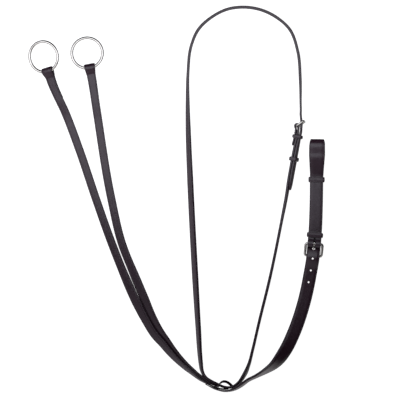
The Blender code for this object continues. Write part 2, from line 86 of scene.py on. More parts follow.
# ---- strap routes in plan: x, y, roll in degrees, lift ----
NECK_ROUTE = [
    (182.4, 109.2, -86, 3.9), (180.2, 94, -82, 3.6), (177.0, 78, -74, 2.8),
    (171.8, 50, -72, 2.6), (167.9, 28, -74, 1.2), (164.6, 7, -80, 0),
    (157, -32, -88, 0), (139.5, -117, -90, 0), (122.2, -188, -90, 0), (113.4, -226, -88, 0.3),
    (108, -247, -82, 1), (101.2, -263, -66, 2), (91.5, -276, -80, 2.6), (82, -281.8, -84, 2.6),
    (72.5, -282, -84, 2.6), (66.2, -280.0, -84, 2.6), (61.3, -277.6, -84, 2.6),
    (50.8, -272.4, -84, 2.6), (44.9, -268.8, -83, 2.2), (40.2, -263.6, -80, 1.2),
    (37.0, -255.6, -75, 0.4), (35.8, -247, -71, 0), (31.7, -190, -66, 0), (27.4, -118, -58, 0),
    (20, 25, -60, 0), (17, 98, -68, 0), (16, 145, -80, 0), (16.5, 188, -90, 0),
    (21.5, 230, -90, 0), (32, 254, -86, 0), (52, 272.5, -88, 0), (76, 284.5, -90, 0),
    (100.5, 287.5, -90, 0), (124, 284, -90, 0), (149, 272.3, -90, 0), (169, 254, -86, 0),
    (180.8, 222, -90, 0), (184.7, 180, -90, 0), (185.2, 146, -90, 1.4),
    (185.2, 127, -88, 3.4)]

CHEST_ROUTE = [
    (42.5, -277.3, 84, 0), (47.1, -279.8, 85, 0), (58.9, -285.2, 86, 0), (70.6, -287.8, 86, 0),
    (82.2, -286.2, 84, 0), (94.6, -280.0, 78, 0), (106.2, -271.6, 80, 0), (118.5, -265.5, 80, 0),
    (131, -258.5, 70, 0), (143.5, -250, 55, 0), (154, -239, 30, 0), (162.5, -226.5, 18, 0),
    (174.5, -202, 4, 0), (187, -167, 0, 0), (194.6, -138, 0, 0), (199.3, -114, 0, 1.2),
    (202.3, -97, 0, 2.3), (205.6, -67, 0, 2.3), (207.3, -46, 0, 2.3), (208.6, -10, 0, 2.3),
    (209.3, 34, 0, 2.3), (209.8, 56, 0, 0.8), (210.2, 88, 0, 0)]

LEFT_FORK_ROUTE = [
    (-191.8, 192, 24, 4.5), (-186.4, 173.8, 18, 3.5), (-168.8, 133.3, 6, 0.8), (-145.4, 71, 0, 0),
    (-121.8, 1, 0, 0), (-96.3, -70.5, 0, 0), (-76, -121, 2, 0), (-60, -157, 15, 0),
    (-47.5, -181, 20, 0), (-32.3, -205.3, 26, 0), (-21.8, -216.8, 33, 0), (-12, -228.5, 40, 0),
    (-1, -240.2, 52, 0), (12.5, -252.6, 62, 0), (24.2, -262, 72, 0), (35.6, -271, 80, 0),
    (48, -277.8, 84, 0), (62.3, -284.1, 86, 0)]

RIGHT_FORK_ROUTE = [
    (-130.7, 197, 0, 0), (-128.1, 183, 0, 0), (-120.5, 133.5, 0, 0), (-98.4, 0, 0, 0),
    (-82.8, -66, 0, 0), (-63, -116, 2, 0), (-48, -151.5, 15, 0), (-37.5, -176, 20, 0),
    (-24.8, -199.7, 26, 0), (-16, -212.2, 33, 0), (-7.3, -224.5, 40, 0), (2.7, -236.6, 52, 0),
    (15.2, -249.4, 62, 0), (26.5, -259, 72, 0), (37.4, -268.2, 80, 0), (49.1, -275.6, 84, 0),
    (63, -282, 86, 0)]

# the left fork strap's thin end runs on beside the neck strap
FORK_TAILS = {"left": [(70.6, -285.2, 86, 0), (77.5, -284.6, 86, 0)], "right": []}

# junction loop: x, y, z, roll in degrees
JUNCTION_ROUTE = [(55.2, -280.2, 17.9, 90), (59.2, -281.5, 17.9, 90), (62.0, -279.3, 17.9, 86),
                  (64.4, -275.4, 17.4, 74), (69.2, -272.9, 12.5, 46), (74.8, -274.0, 7.0, 26),
                  (79.2, -277.2, 3.4, 14), (82.2, -280.2, 1.1, 5), (83.6, -282.5, 0.95, 0),
                  (84.2, -284.6, 0.95, 0)]


# ---- routes ----
def smooth(values, span):
    """Moving average over span samples with repeated end values."""
    padded = np.concatenate([np.full(span, values[0]), values, np.full(span, values[-1])])
    kernel = np.ones(2 * span + 1) / (2 * span + 1)
    return np.convolve(padded, kernel, mode="valid")


class Guide:
    """Plan curve with roll and height; s runs along it in mm."""

    def __init__(self, route, width, thick, closed=False):
        points = np.array(route, dtype=float)
        self.closed = closed
        if closed:
            points = np.vstack([points[-2:], points, points[:3]])
        else:
            first = 2 * points[0] - points[1]
            last = 2 * points[-1] - points[-2]
            points = np.vstack([first, points, last])
        dense = self.catmull(points, 2 if closed else 1)
        span = 8
        if closed:
            count = len(dense)
            tripled = np.vstack([dense, dense, dense])
            roll = smooth(tripled[:, 2], span)[count:2 * count]
            lift = smooth(tripled[:, 3], span)[count:2 * count]
        else:
            roll = smooth(dense[:, 2], span)
            lift = smooth(dense[:, 3], span)
        plan = dense[:, :2]
        if closed:
            plan = np.vstack([plan, plan[:1]])
            roll = np.append(roll, roll[0])
            lift = np.append(lift, lift[0])
        steps = np.hypot(*np.diff(plan, axis=0).T)
        self.s = np.concatenate([[0.0], np.cumsum(steps)])
        self.length = self.s[-1]
        self.plan = plan
        self.roll = np.radians(roll)
        rise = width * np.abs(np.sin(self.roll)) + thick * np.abs(np.cos(self.roll))
        self.z = lift + 0.5 * rise

    @staticmethod
    def catmull(points, pad):
        """Cubic through the points, about one sample per millimetre."""
        gaps = np.hypot(*np.diff(points[:, :2], axis=0).T)
        t = np.concatenate([[0.0], np.cumsum(gaps)])
        slope = np.zeros_like(points)
        for i in range(1, len(points) - 1):
            before = (points[i] - points[i - 1]) / (t[i] - t[i - 1])
            after = (points[i + 1] - points[i]) / (t[i + 1] - t[i])
            share = (t[i] - t[i - 1]) / (t[i + 1] - t[i - 1])
            slope[i] = before * (1 - share) + after * share
        last = len(points) - 1 - pad
        rows = []
        for i in range(pad, last):
            width = t[i + 1] - t[i]
            count = max(2, int(round(width)))
            for k in range(count):
                u = k / count
                hermite = ((1 + 2 * u) * (1 - u) ** 2 * points[i]
                           + u * (1 - u) ** 2 * width * slope[i]
                           + u * u * (3 - 2 * u) * points[i + 1]
                           + u * u * (u - 1) * width * slope[i + 1])
                hermite[2:] = points[i, 2:] * (1 - u) + points[i + 1, 2:] * u
                rows.append(hermite)
        if pad == 1:
            rows.append(points[last])
        return np.array(rows)

    def frame(self, s):
        """Point, travel, side and face directions at distance s."""
        extra = 0.0
        if self.closed:
            s = s % self.length
        elif s < 0.0:
            extra, s = s, 0.0
        elif s > self.length:
            extra, s = s - self.length, self.length
        ahead, behind = s + 3.0, s - 3.0
        if not self.closed:
            ahead, behind = min(ahead, self.length), max(behind, 0.0)
        delta = self.at(self.plan, ahead) - self.at(self.plan, behind)
        travel = Vector((delta[0], delta[1], 0.0)).normalized()
        left = Vector((-travel.y, travel.x, 0.0))
        roll = float(self.at(self.roll, s))
        up = Vector((0.0, 0.0, 1.0))
        side = left * math.cos(roll) + up * math.sin(roll)
        face = up * math.cos(roll) - left * math.sin(roll)
        plan = self.at(self.plan, s)
        point = Vector((plan[0], plan[1], float(self.at(self.z, s)))) + travel * extra
        return point, travel, side, face

    def at(self, values, s):
        if self.closed:
            s = s % self.length
        if values.ndim == 1:
            return np.interp(s, self.s, values)
        return np.array([np.interp(s, self.s, values[:, k]) for k in range(values.shape[1])])

    def nearest(self, x, y):
        gap = np.hypot(self.plan[:, 0] - x, self.plan[:, 1] - y)
        return float(self.s[int(np.argmin(gap))])


def fold(s, h_from, h_to, toward, width, thick, count=12, crest=None):
    """Half-turn between two layers, toward = -1 or 1 along s; crest is its width at the turn."""
    middle = 0.5 * (h_from + h_to)
    radius = 0.5 * (h_from - h_to)
    stations = []
    for k in range(1, count):
        angle = math.pi * k / count
        across = width + ((crest or width) - width) * math.sin(angle) ** 2
        stations.append((s + toward * abs(radius) * math.sin(angle),
                         middle + radius * math.cos(angle), across, thick))
    return stations


def fill(stations, grid):
    """Adds stations on a common grid so stacked layers share stations."""
    filled = [stations[0]]
    for before, after in zip(stations[:-1], stations[1:]):
        low, high = sorted((before[0], after[0]))
        step = grid
        if abs(after[1] - before[1]) > 0.6 and high - low > 6.0:
            step = 0.5 * grid
        first = math.floor(low / step) + 1
        marks = [step * k for k in range(first, math.ceil(high / step))]
        marks = [m for m in marks if m - low > 1.0 and high - m > 1.0]
        if after[0] < before[0]:
            marks.reverse()
        for mark in marks + [after[0]]:
            u = (mark - before[0]) / (after[0] - before[0]) if high > low else 1.0
            ease = u * u * (3 - 2 * u)
            filled.append((mark,
                           before[1] + (after[1] - before[1]) * ease,
                           before[2] + (after[2] - before[2]) * u,
                           before[3] + (after[3] - before[3]) * u))
    return filled


# ---- leather geometry ----
CREASE_INSET = 1.7      # crease line to the strap's edge
CREASE_HALF = 0.3
CREASE_DEPTH = 0.24
CROWN = 0.14            # swell of the grain face
STITCH_LENGTH = 2.3
STITCH_PITCH = 3.1
STITCH_RADIUS = 0.34
STITCH_INSET = 2.0      # stitch row to the neck strap's edge
GIRTH_INSET = 2.4
FORK_INSET = 1.8
KEEPER_SWELL = 0.15     # how far a keeper's sides bow out
KEEPER_DOME = 0.4       # how far its two edges turn down


def profile(width, thick, crease=1.0):
    """Strap section as (x, y, wear, flesh), grain face at +y, rounded burnished edges."""
    radius = min(0.95, 0.38 * thick)
    half, tall = 0.5 * width, 0.5 * thick
    inset = min(CREASE_INSET, 0.2 * width)
    groove = crease * min(1.0, width / 8.0)
    points = []
    for sign, flesh in ((1, 0.0), (-1, 1.0)):
        crown = CROWN * (1 - flesh) * groove
        depth = CREASE_DEPTH * groove * (1.0 - 0.5 * flesh)
        spots = [(half - inset + CREASE_HALF, 0.15 * crown), (half - inset, 0.3 * crown - depth),
                 (half - inset - CREASE_HALF, 0.45 * crown), (0.45 * half, 0.85 * crown)]
        row = []
        for k in range(6):
            angle = math.radians(18 * k)
            wear = math.sin(2 * angle) ** 2 * 0.7 + 0.3
            row.append((half - radius + radius * math.cos(angle),
                        tall - radius + radius * math.sin(angle), wear, flesh))
        row += [(x, tall + dy, 0.0, flesh) for x, dy in spots]
        row += [(0.0, tall + crown, 0.0, flesh)]
        row += [(-x, y, wear, f) for x, y, wear, f in reversed(row[:-1])]
        points += [(x * sign, y * sign, wear, f) for x, y, wear, f in row]
    return points


class Band:
    """Strap along a guide; stations are (s, h, width, thickness) as in the CAD model."""

    def __init__(self, guide, stations, grid=2.0):
        stations = fill(stations, guide.length / round(guide.length / grid))
        centres = []
        sides = []
        for s, h, _, _ in stations:
            point, _, side, face = guide.frame(s)
            centres.append(point + BASE_POINT + face * h)
            sides.append(side)
        self.rows = []
        self.length = [0.0]
        for i, (_, _, width, thick) in enumerate(stations):
            run = (centres[min(i + 1, len(centres) - 1)] - centres[max(i - 1, 0)]).normalized()
            side = (sides[i] - run * sides[i].dot(run)).normalized()
            self.rows.append((centres[i], run, side, run.cross(side), width, thick))
            if i:
                self.length.append(self.length[-1] + (centres[i] - centres[i - 1]).length)

    def at(self, length):
        """Centre, run, side, normal, width and thickness at a length along the leather."""
        i = int(np.searchsorted(self.length, length)) - 1
        i = min(max(i, 0), len(self.rows) - 2)
        u = (length - self.length[i]) / max(self.length[i + 1] - self.length[i], 1e-6)
        a, b = self.rows[i], self.rows[i + 1]
        vectors = [a[k].lerp(b[k], u) for k in range(4)]
        for k in (1, 2, 3):
            vectors[k].normalize()
        return (*vectors, a[4] + (b[4] - a[4]) * u, a[5] + (b[5] - a[5]) * u)

    def rings(self, crease=1.0):
        """Section rings with rounded-off ends."""
        total = self.length[-1]
        ends = ((0.0, 1.0, 0.45), (0.3, 0.4, 0.8), (0.9, 0.0, 1.0))
        marks = list(ends)
        marks += [(m, 0.0, 1.0) for m in self.length if 1.6 < m < total - 1.6]
        marks += [(total - m, cut, flat) for m, cut, flat in reversed(ends)]
        rings = []
        for mark, narrower, flatter in marks:
            centre, _, side, normal, width, thick = self.at(mark)
            ring = []
            for x, y, wear, flesh in profile(width - narrower, thick, crease):
                worn = max(wear, 1.0 - flatter)
                ring.append((centre + side * x + normal * (y * flatter), worn, flesh))
            rings.append(ring)
        return rings


def loft(name, rings, closed=False):
    """Mesh through equal rings of (point, wear, flesh)."""
    count = len(rings[0])
    faces = []
    for i in range(len(rings) if closed else len(rings) - 1):
        a, b = i * count, ((i + 1) % len(rings)) * count
        for k in range(count):
            n = (k + 1) % count
            faces.append((a + k, a + n, b + n, b + k))
    if not closed:
        faces.append(tuple(range(count - 1, -1, -1)))
        faces.append(tuple((len(rings) - 1) * count + k for k in range(count)))
    mesh = bpy.data.meshes.new(name)
    mesh.from_pydata([tuple(point * MM) for ring in rings for point, _, _ in ring], [], faces)
    for index, label in ((1, "wear"), (2, "flesh")):
        values = np.array([item[index] for ring in rings for item in ring], np.float32)
        mesh.attributes.new(label, "FLOAT", "POINT").data.foreach_set("value", values)
    work = bmesh.new()
    work.from_mesh(mesh)
    bmesh.ops.recalc_face_normals(work, faces=work.faces)
    work.to_mesh(mesh)
    work.free()
    mesh.shade_smooth()
    mesh.set_sharp_from_angle(angle=math.radians(50))
    body = bpy.data.objects.new(name, mesh)
    bpy.context.scene.collection.objects.link(body)
    return body


def tube(points, radii, sides=16, closed=False, up=None):
    """Rings of a round wire along points; radii may vary along it."""
    rings = []
    count = len(points)
    side = None
    for i, point in enumerate(points):
        if closed:
            run = points[(i + 1) % count] - points[i - 1]
        else:
            run = points[min(i + 1, count - 1)] - points[max(i - 1, 0)]
        run = run.normalized()
        if up is not None:
            side = up.cross(run).normalized()
        elif side is None:
            side = run.orthogonal().normalized()
        else:
            side = (side - run * side.dot(run)).normalized()
        other = run.cross(side)
        ring = []
        for k in range(sides):
            angle = math.tau * k / sides
            ring.append((point + (side * math.cos(angle) + other * math.sin(angle)) * radii[i],
                         0.0, 0.0))
        rings.append(ring)
    return rings


def carve(body, cutters):
    """Cuts holes and keeps the evaluated result as the body's mesh."""
    for index, tool in enumerate(cutters):
        modifier = body.modifiers.new("cut_%d" % index, "BOOLEAN")
        modifier.operation = "DIFFERENCE"
        modifier.object = tool
        modifier.solver = "EXACT"
    bpy.context.view_layer.update()
    result = body.evaluated_get(bpy.context.evaluated_depsgraph_get())
    mesh = bpy.data.meshes.new_from_object(result)
    body.modifiers.clear()
    body.data = mesh
    mesh.shade_smooth()
    mesh.set_sharp_from_angle(angle=math.radians(50))
    for tool in cutters:
        bpy.data.objects.remove(tool, do_unlink=True)


def spindle(centre, axis, radius, half, lip, stretch=1.0, along=None):
    """Round cutter that flares by lip where it leaves the leather at +-half."""
    z = axis.normalized()
    x = (along - z * along.dot(z)).normalized() if along else z.orthogonal().normalized()
    y = z.cross(x)
    heights = [(-half - 6.0, lip), (-half - 0.1, lip), (-half + 0.45, 0.0),
               (half - 0.45, 0.0), (half + 0.1, lip), (half + 6.0, lip)]
    sides = 28
    rings = []
    for height, flare in heights:
        ring = []
        for k in range(sides):
            angle = math.tau * k / sides
            ring.append((centre + z * height + x * ((radius + flare) * stretch * math.cos(angle))
                         + y * ((radius + flare) * math.sin(angle)), 0.0, 0.0))
        rings.append(ring)
    return loft("cutter", rings)


def slot_cutter(heel, along, side, rise, reach, wide):
    """Round-ended slot through both layers at a buckle bar."""
    rings = []
    for height in (-reach, reach):
        ring = []
        for end, start in ((7.0, -90), (-9.0 + 0.5 * wide, 90)):
            for k in range(9):
                angle = math.radians(start + 22.5 * k)
                spot = along * (end + 0.5 * wide * math.cos(angle))
                ring.append((heel + spot + side * (0.5 * wide * math.sin(angle)) + rise * height,
                             0.0, 0.0))
        rings.append(ring)
    return loft("cutter", rings)


def stitches(name, rows):
    """One mesh of sunk thread stitches; rows are (band, start, end, inset, face)."""
    work = bmesh.new()
    for band, start, end, inset, face in rows:
        count = max(1, int(round((end - start) / STITCH_PITCH)))
        for index in range(count):
            length = start + (end - start) * (index + 0.5) / count
            for edge in (-1, 1):
                centre, run, side, normal, width, thick = band.at(length)
                up = normal * face
                base = centre + side * (edge * (0.5 * width - inset)) + up * (0.5 * thick)
                slant = (run + side * 0.16).normalized()
                points = []
                radii = []
                for k in range(7):
                    u = k / 6.0 * 2.0 - 1.0
                    points.append(base + slant * (0.5 * STITCH_LENGTH * u)
                                  + up * (0.22 - 0.42 * u * u))
                    radii.append(STITCH_RADIUS * math.sqrt(max(0.12, 1.0 - 0.8 * u ** 4)))
                rings = tube(points, radii, 8)
                verts = [[work.verts.new(p * MM) for p, _, _ in ring] for ring in rings]
                for a, b in zip(verts[:-1], verts[1:]):
                    for k in range(8):
                        n = (k + 1) % 8
                        work.faces.new((a[k], a[n], b[n], b[k]))
                work.faces.new(verts[0][::-1])
                work.faces.new(verts[-1])
    bmesh.ops.recalc_face_normals(work, faces=work.faces)
    mesh = bpy.data.meshes.new(name)
    work.to_mesh(mesh)
    work.free()
    mesh.shade_smooth()
    body = bpy.data.objects.new(name, mesh)
    bpy.context.scene.collection.objects.link(body)
    return body


def keeper(name, guide, s, low, high, width, length, gap=KEEPER_GAP):
    """Narrow leather band round the strap stack."""
    point, travel, side, face = guide.frame(s)
    middle = point + BASE_POINT + face * 0.5 * (low + high)
    reach = 0.5 * width + gap + 0.5 * KEEPER_THICK
    tall = 0.5 * (high - low) + gap + 0.5 * KEEPER_THICK
    corner = 1.5
    spots = []
    for quarter in range(4):
        sx = (1, -1, -1, 1)[quarter]
        sy = (1, 1, -1, -1)[quarter]
        for k in range(7):
            angle = math.radians(90 * quarter + 15 * k)
            spots.append((sx * (reach - corner) + corner * math.cos(angle),
                          sy * (tall - corner) + corner * math.sin(angle), angle))
        angle = math.radians(90 * quarter + 90)
        distance, half = ((tall, reach - corner), (reach, tall - corner))[quarter % 2]
        for k in range(1, 8):
            u = k / 4.0 - 1.0
            out = distance + KEEPER_SWELL * (1.0 - u * u)
            spots.append((out * math.cos(angle) - half * u * math.sin(angle),
                          out * math.sin(angle) + half * u * math.cos(angle), angle))
    rings = []
    for x, y, angle in spots:
        out = side * math.cos(angle) + face * math.sin(angle)
        centre = middle + side * x + face * y
        rings.append([(centre + travel * px + out * (py - KEEPER_DOME * (2 * px / length) ** 4),
                       wear, flesh) for px, py, wear, flesh in profile(length, KEEPER_THICK, 0.7)])
    return loft(name, rings, closed=True)


# ---- straps ----
def dress(piece, node, body, material):
    """Material, CAD node it stands for and body it rides on."""
    piece.data.materials.clear()
    piece.data.materials.append(material)
    if node:
        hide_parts(node)
    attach(piece, body)
    return piece


def leather(piece, node, body):
    return dress(piece, node, body, LEATHER)


def thread(piece, body):
    return dress(piece, None, body, THREAD)


def metal(piece, node, body):
    return dress(piece, node, body, NICKEL)


def pitched(along, rise, pitch):
    """The two directions turned by pitch degrees about the heel bar."""
    angle = math.radians(pitch)
    return (along * math.cos(angle) + rise * math.sin(angle),
            rise * math.cos(angle) - along * math.sin(angle))


def heel_frame(guide, s, base, front, spacing):
    """Heel bar centre and its along, side and rise directions."""
    point, travel, side, face = guide.frame(s)
    rise = face * front
    return point + BASE_POINT + face * base - rise * (0.5 * spacing), travel * -1.0, side, rise


def buckle_frame(name, heel, out, side, bar, inner, length, corner):
    """Wire frame: round bars, softly squared corners, a slimmer heel bar."""
    half = 0.5 * inner + bar
    points = []
    radii = []
    centres = [(length - corner, half - corner, 0), (length - corner, corner - half, 270),
               (corner, corner - half, 180), (corner, half - corner, 90)]
    for index, (ca, cx, start) in enumerate(centres):
        for k in range(9):
            angle = math.radians(start + 90 - 11.25 * k)
            points.append(heel + out * (ca + corner * math.cos(angle))
                          + side * (cx + corner * math.sin(angle)))
            radii.append(bar)
        ahead = centres[(index + 1) % 4]
        angle = math.radians(start)
        first = (ca + corner * math.cos(angle), cx + corner * math.sin(angle))
        turn = math.radians(ahead[2] + 90)
        last = (ahead[0] + corner * math.cos(turn), ahead[1] + corner * math.sin(turn))
        for k in range(1, 8):
            u = k / 8.0
            a = first[0] + (last[0] - first[0]) * u
            x = first[1] + (last[1] - first[1]) * u
            points.append(heel + out * a + side * x)
            slim = 0.1 * math.sin(math.pi * u) if index == 2 else -0.06 * math.sin(math.pi * u)
            radii.append(bar * (1.0 - slim))
    return loft(name, tube(points, radii, 20, closed=True, up=side.cross(out)), closed=True)


def tongue(name, heel, along, side, rise, loop, radius, knees):
    """Eye round the heel bar, then a tongue that tapers to a rounded tip."""
    eye_steps = 28
    points = []
    for k in range(eye_steps + 1):
        angle = math.radians(90.0 + 280.0 * (1 - k / eye_steps))
        points.append(heel + along * (loop * math.cos(angle)) + rise * (loop * math.sin(angle)))
    route = [(0.0, loop)] + knees
    for (a0, b0), (a1, b1) in zip(route[:-1], route[1:]):
        for k in range(1, 9):
            u = k / 8
            points.append(heel + along * (a0 + (a1 - a0) * u) + rise * (b0 + (b1 - b0) * u))
    for _ in range(3):
        inner = [(a + b * 2 + c) * 0.25
                 for a, b, c in zip(points[:-2], points[1:-1], points[2:])]
        points = [points[0]] + inner + [points[-1]]
    count = len(points)
    radii = []
    for k in range(count):
        u = max(0.0, (k - eye_steps) / (count - eye_steps - 1))
        radii.append(radius * (1.0 - 0.18 * u))
    end = points[-1]
    tip = (end - points[-2]).normalized()
    last = radii[-1]
    for k in range(1, 6):
        angle = math.radians(17 * k)
        points.append(end + tip * (last * math.sin(angle)))
        radii.append(last * math.cos(angle))
    return loft(name, tube(points, radii, 16, up=side))


def neck_group():
    """Neck strap with its buckle, two keepers and stitching."""
    guide = Guide(NECK_ROUTE, NARROW_WIDTH, NARROW_THICK, closed=True)
    w, t, thin = NARROW_WIDTH, NARROW_THICK, CHAPE_THICK
    layer = t + LAYER_GAP
    spacing = 2 * (NECK_BAR + 0.35) + thin
    back = 0.5 * (t + thin) + LAYER_GAP
    total = guide.length
    full = t + NECK_FULLNESS
    stations = [(30.0, -back, w, thin), (6.5, -back, w, thin), (0.0, -spacing, w, thin)]
    stations += fold(0.0, -spacing, 0.0, -1, w, thin)
    crossing = guide.nearest(91.5, -276.0)
    leaving = guide.nearest(37.0, -255.6)
    stations += [(0.0, 0.0, w, thin), (8.0, 0.0, w, thin), (20.0, 0.0, w, t),
                 (70.0, 0.0, w, t), (130.0, 0.0, w, full), (crossing - 60.0, 0.0, w, full),
                 (crossing, 0.0, w, t), (leaving, 0.0, w, t), (leaving + 50.0, 0.0, w, full),
                 (total - 70.0, 0.0, w, full), (total - 40.0, 0.0, w, t),
                 (total - 20.0, 0.0, w, t), (total, layer + 0.3, w, t),
                 (total + 7.0, layer + 0.7, w, t),
                 (total + 22.0, layer, w, t), (total + 84.0, layer, w, t),
                 (total + 89.0, layer, w * 0.92, t), (total + 93.0, layer, w * 0.72, t),
                 (total + 95.6, layer, w * 0.46, t), (total + 96.8, layer, w * 0.24, t)]
    band = Band(guide, stations, 2.5)
    strap = loft("neck_strap_leather", band.rings())
    heel, along, side, rise = heel_frame(guide, 0.0, 0.0, 1, spacing)
    out, proud = pitched(along, rise, NECK_FRAME_PITCH)
    loop = NECK_BAR + 0.3 + NECK_TONGUE
    reach = 0.5 * spacing + 0.5 * thin + 0.3
    cuts = [slot_cutter(heel, along, side, rise, reach, NECK_SLOT),
            spindle(heel + out * 6.6 + proud * loop, out, NECK_HOLE, 2.2, 0.2, 1.2, along)]
    carve(strap, cuts)
    leather(strap, "neck_strap", "neck")
    metal(buckle_frame("neck_buckle_wire", heel, out, side, NECK_BAR, w + 1.0,
                       NECK_FRAME_LENGTH, 2.4), "neck_buckle_frame", "neck_frame")
    knees = [(3.0, loop), (8.0, loop + 0.1), (NECK_FRAME_LENGTH + 0.9, loop - 0.1)]
    metal(tongue("neck_buckle_pin", heel, out, side, proud, loop, NECK_TONGUE, knees),
          "neck_buckle_tongue", "neck_tongue")
    fixed = keeper("neck_fixed_keeper_leather", guide, 16.0, -back - 0.5 * thin - 0.2,
                   layer + 0.5 * t + 0.5, w, 5.0)
    leather(fixed, "neck_fixed_keeper", "neck")
    slider = keeper("neck_sliding_keeper_leather", guide, 50.0, -0.5 * t, layer + 0.5 * t,
                    w, 6.0, SLIDE_GAP)
    leather(slider, "neck_sliding_keeper", "neck_keeper")
    thread(stitches("neck_stitching", [(band, 2.0, 11.5, STITCH_INSET, 1),
                                       (band, 18.5, 24.0, STITCH_INSET, 1)]), "neck")


def chest_group():
    """Chest and girth straps with their buckle, two keepers and stitching."""
    guide = Guide(CHEST_ROUTE, WIDE_WIDTH, WIDE_THICK)
    w, t = WIDE_WIDTH, WIDE_THICK
    layer = t + LAYER_GAP
    spacing = 2 * (CHEST_BAR + 0.5) + t
    at_bar = guide.nearest(205.6, -66.5)
    top = guide.length
    stations = [(0.0, 0.0, 10.0, 0.5), (7.0, 0.0, 13.0, 1.0), (14.0, 0.0, 16.0, SKIVED_THICK),
                (24.0, 0.0, w, SKIVED_THICK), (50.0, 0.0, w, t),
                (at_bar - 62.0, 0.0, w, t), (at_bar - 40.0, 0.0, w, t),
                (at_bar - 21.0, 7.4, w, t), (at_bar + 1.0, 0.0, w, t), (at_bar + 46.0, 0.0, w, t),
                (at_bar + 52.0, 0.0, w * 0.92, t), (at_bar + 57.0, 0.0, w * 0.7, t),
                (at_bar + 60.0, 0.0, w * 0.4, t), (at_bar + 61.0, 0.0, w * 0.24, t)]
    lower = Band(guide, stations)
    chest = loft("chest_strap_leather", lower.rings())
    wide = GIRTH_LOOP_WIDTH
    turn = 8.0
    girth = [(at_bar + 19.0, 2 * layer, w, t), (at_bar + 8.0, 2 * layer, w, t),
             (at_bar, layer + spacing, w, t)]
    girth += fold(at_bar, layer + spacing, layer, -1, w, t)
    girth += [(at_bar, layer, w, t), (top - 68.0, layer, w, t), (top - 56.0, layer, w, t),
              (top - 22.0, 2 * turn - 2.0, wide - 1.4, t), (top - turn, 2 * turn, wide - 1.4, t)]
    girth += fold(top - turn, 2 * turn, 0.0, 1, wide - 0.7, t, 14, GIRTH_FOLD_WIDTH)
    girth += [(top - turn, 0.0, wide - 0.4, t), (top - 22.0, 0.0, wide, t),
              (top - 52.0, 0.0, w, t), (top - 76.0, 0.0, w, t)]
    upper = Band(guide, girth)
    loop_strap = loft("girth_strap_leather", upper.rings(0.5))
    heel, along, side, rise = heel_frame(guide, at_bar, layer, -1, spacing)
    out, _ = pitched(along, rise, CHEST_FRAME_PITCH)
    metal(buckle_frame("chest_buckle_wire", heel, out, side, CHEST_BAR, w + 1.5,
                       CHEST_FRAME_LENGTH, 3.2), "chest_buckle_frame", "chest_frame")
    loop = CHEST_BAR + 0.3 + CHEST_TONGUE
    knees = [(6.2, 3.4), (8.8, 7.6), (12.0, 8.6), (19.2, 8.4)]
    metal(tongue("chest_buckle_pin", heel, along, side, rise, loop, CHEST_TONGUE, knees),
          "chest_buckle_tongue", "chest_tongue")
    reach = 0.5 * (spacing + t) + 0.3
    carve(loop_strap, [slot_cutter(heel, along, side, rise, reach, GIRTH_SLOT)])
    leather(loop_strap, "girth_strap", "chest")
    cuts = [spindle(heel + along * 7.6 + rise * 5.6, rise * 0.75 + along * 0.66,
                    CHEST_HOLE, 3.6, 0.25, 1.25, along)]
    for index, height in enumerate(HOLE_LIFTS):
        point, _, _, face = guide.frame(at_bar - 22.4 - HOLE_PITCH * index)
        cuts.append(spindle(point + BASE_POINT + face * height, face, SPARE_HOLE, 0.5 * t, 0.3))
    carve(chest, cuts)
    leather(chest, "chest_strap", "chest")
    fixed = keeper("chest_fixed_keeper_leather", guide, at_bar + 13.0, -0.5 * t,
                   2 * layer + 0.5 * t, w, 7.0)
    leather(fixed, "chest_fixed_keeper", "chest")
    slider = keeper("girth_loop_keeper_leather", guide, top - 59.0, -0.5 * t,
                    layer + 0.5 * t, w, 8.0)
    leather(slider, "girth_loop_keeper", "girth_keeper")
    end = upper.length[-1]
    thread(stitches("girth_stitching", [(upper, 1.6, 9.0, GIRTH_INSET, -1),
                                        (upper, end - 17.0, end - 1.6, GIRTH_INSET, 1)]),
           "chest")


